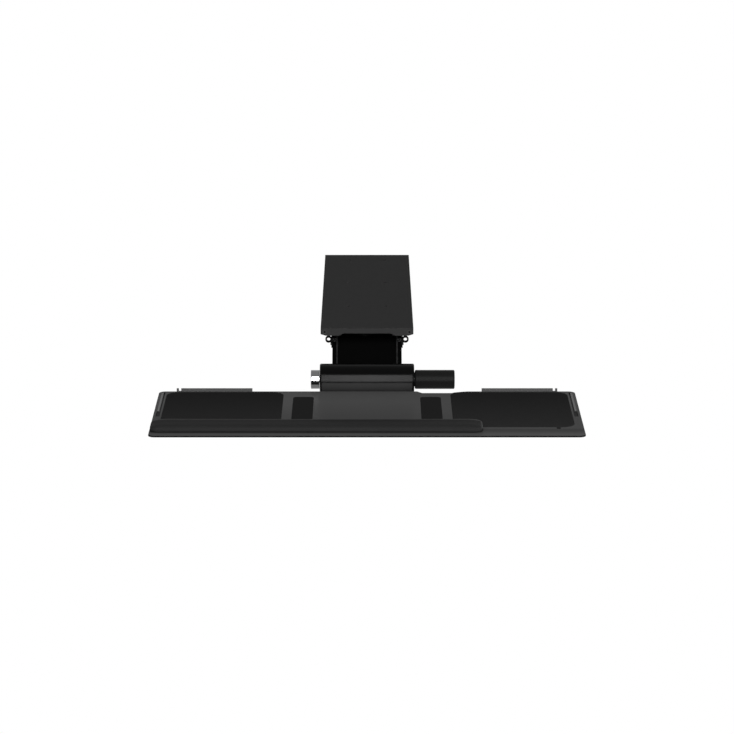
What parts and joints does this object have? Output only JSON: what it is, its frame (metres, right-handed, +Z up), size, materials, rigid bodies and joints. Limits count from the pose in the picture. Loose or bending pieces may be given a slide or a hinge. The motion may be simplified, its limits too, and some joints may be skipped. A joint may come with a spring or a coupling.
{
  "type": "under-desk keyboard tray",
  "caption": "Articulating keyboard tray: board with pads and a palm rest on a lift arm with a tilt dial, swivelling on a carriage that slides in an under-desk track.",
  "frame": {"origin": "on the swivel axis, on the track's top face, which is the desk's underside", "axes": "+X to the user's right, +Y back under the desk along the track, +Z up"},
  "size_m": [0.635, 0.887, 0.095],
  "materials": {
    "black_steel": "black powder coat",
    "bare_steel": "zinc plated",
    "spring_steel": "oiled spring wire",
    "black_screw": "blackened",
    "black_plastic": "fine moulded grain",
    "barrel_plastic": "semi-gloss black",
    "dial_plastic": "satin black",
    "black_casting": "black painted die casting",
    "chrome": "bright chrome plate",
    "brass": "machined",
    "nylon": "natural nylon",
    "rubber": "moulded rubber",
    "board": "dark grey semi-gloss laminate",
    "pad": "fine black cloth",
    "grip_rubber": "smooth matt rubber",
    "palm_skin": "soft black leatherette over foam",
    "stop_plastic": "grey moulded plastic",
    "rail_plastic": "pale grey moulded plastic"
  },
  "bodies": {
    "track": {"track_channel": "black_steel", "front_end_cap": "black_plastic", "rear_end_cap": "black_plastic", "front_bumpers": "rubber", "rear_bumpers": "rubber"},
    "carriage": {"carriage_plate": "bare_steel", "glide_blocks": "nylon", "swivel_disc": "nylon", "swivel_stud": "bare_steel", "swivel_washer": "bare_steel", "swivel_nut": "bare_steel"},
    "swivel": {"swivel_bracket": "black_steel", "rear_pivot_pin": "bare_steel", "rear_pivot_clips": "bare_steel", "rear_friction_washers": "nylon", "link_rear_pin": "bare_steel", "left_lift_spring": "spring_steel", "right_lift_spring": "spring_steel"},
    "arm": {"arm_channel": "black_steel", "arm_bushes": "brass", "left_cable_guide": "black_plastic", "right_cable_guide": "black_plastic", "cable_guide_screws": "black_screw"},
    "link": {"levelling_link": "black_steel"},
    "head": {"head_casting": "black_casting", "barrel_cover": "barrel_plastic", "cover_screws": "black_screw", "left_barrel_end": "barrel_plastic", "right_barrel_end": "barrel_plastic", "dial_bushes": "nylon", "front_pivot_pin": "bare_steel", "front_pivot_clips": "bare_steel", "front_friction_washers": "nylon", "link_front_pin": "bare_steel"},
    "dial": {"dial_shaft": "bare_steel", "tilt_dial": "dial_plastic", "shaft_end_cap": "chrome"},
    "nut": {"tilt_nut": "brass"},
    "tray": {"tilt_saddle": "black_casting", "saddle_bolts": "bare_steel", "mount_plate": "black_steel", "mount_plate_screws": "bare_steel", "tray_board": "board", "left_mouse_pad": "pad", "right_mouse_pad": "pad", "left_grip_strip": "grip_rubber", "right_grip_strip": "grip_rubber", "palm_rest_base": "black_plastic", "palm_rest_cushion": "palm_skin", "left_rear_stop": "stop_plastic", "right_rear_stop": "stop_plastic", "rear_stop_screws": "black_screw", "left_side_rail": "rail_plastic", "right_side_rail": "rail_plastic"}
  },
  "joints": [
    {"name": "track_slide", "type": "slide", "parent": "track", "child": "carriage", "axis": [0, 1, 0], "range_m": [0, 0.389]},
    {"name": "swivel_turn", "type": "hinge", "parent": "carriage", "child": "swivel", "pos_m": [0, 0, -0.016], "axis": [0, 0, 1], "continuous": true},
    {"name": "arm_lift", "type": "hinge", "parent": "swivel", "child": "arm", "pos_m": [0, 0.027, -0.032], "axis": [-1, 0, 0], "range_deg": [-38, 2], "deforming": ["left_lift_spring", "right_lift_spring"]},
    {"name": "link_swing", "type": "hinge", "parent": "swivel", "child": "link", "pos_m": [0, 0.027, -0.047], "axis": [-1, 0, 0], "range_deg": [-38, 2]},
    {"name": "head_level", "type": "hinge", "parent": "arm", "child": "head", "pos_m": [0, -0.117, -0.073], "axis": [-1, 0, 0], "range_deg": [-2, 38]},
    {"name": "tray_tilt", "type": "hinge", "parent": "head", "child": "tray", "pos_m": [0, -0.153, -0.065], "axis": [-1, 0, 0], "range_deg": [-15, 10]},
    {"name": "dial_turn", "type": "hinge", "parent": "head", "child": "dial", "pos_m": [0, -0.153, -0.065], "axis": [1, 0, 0], "range_deg": [-540, 360]},
    {"name": "nut_travel", "type": "slide", "parent": "head", "child": "nut", "axis": [1, 0, 0], "range_m": [-0.01201, 0.00801]}
  ],
  "couplings": [
    {"joint": "link_swing", "follows": "arm_lift", "ratio": 1},
    {"joint": "head_level", "follows": "arm_lift", "ratio": -1},
    {"joint": "dial_turn", "follows": "tray_tilt", "ratio": 36},
    {"joint": "nut_travel", "follows": "tray_tilt", "m_per_rad": 0.045837}
  ]
}
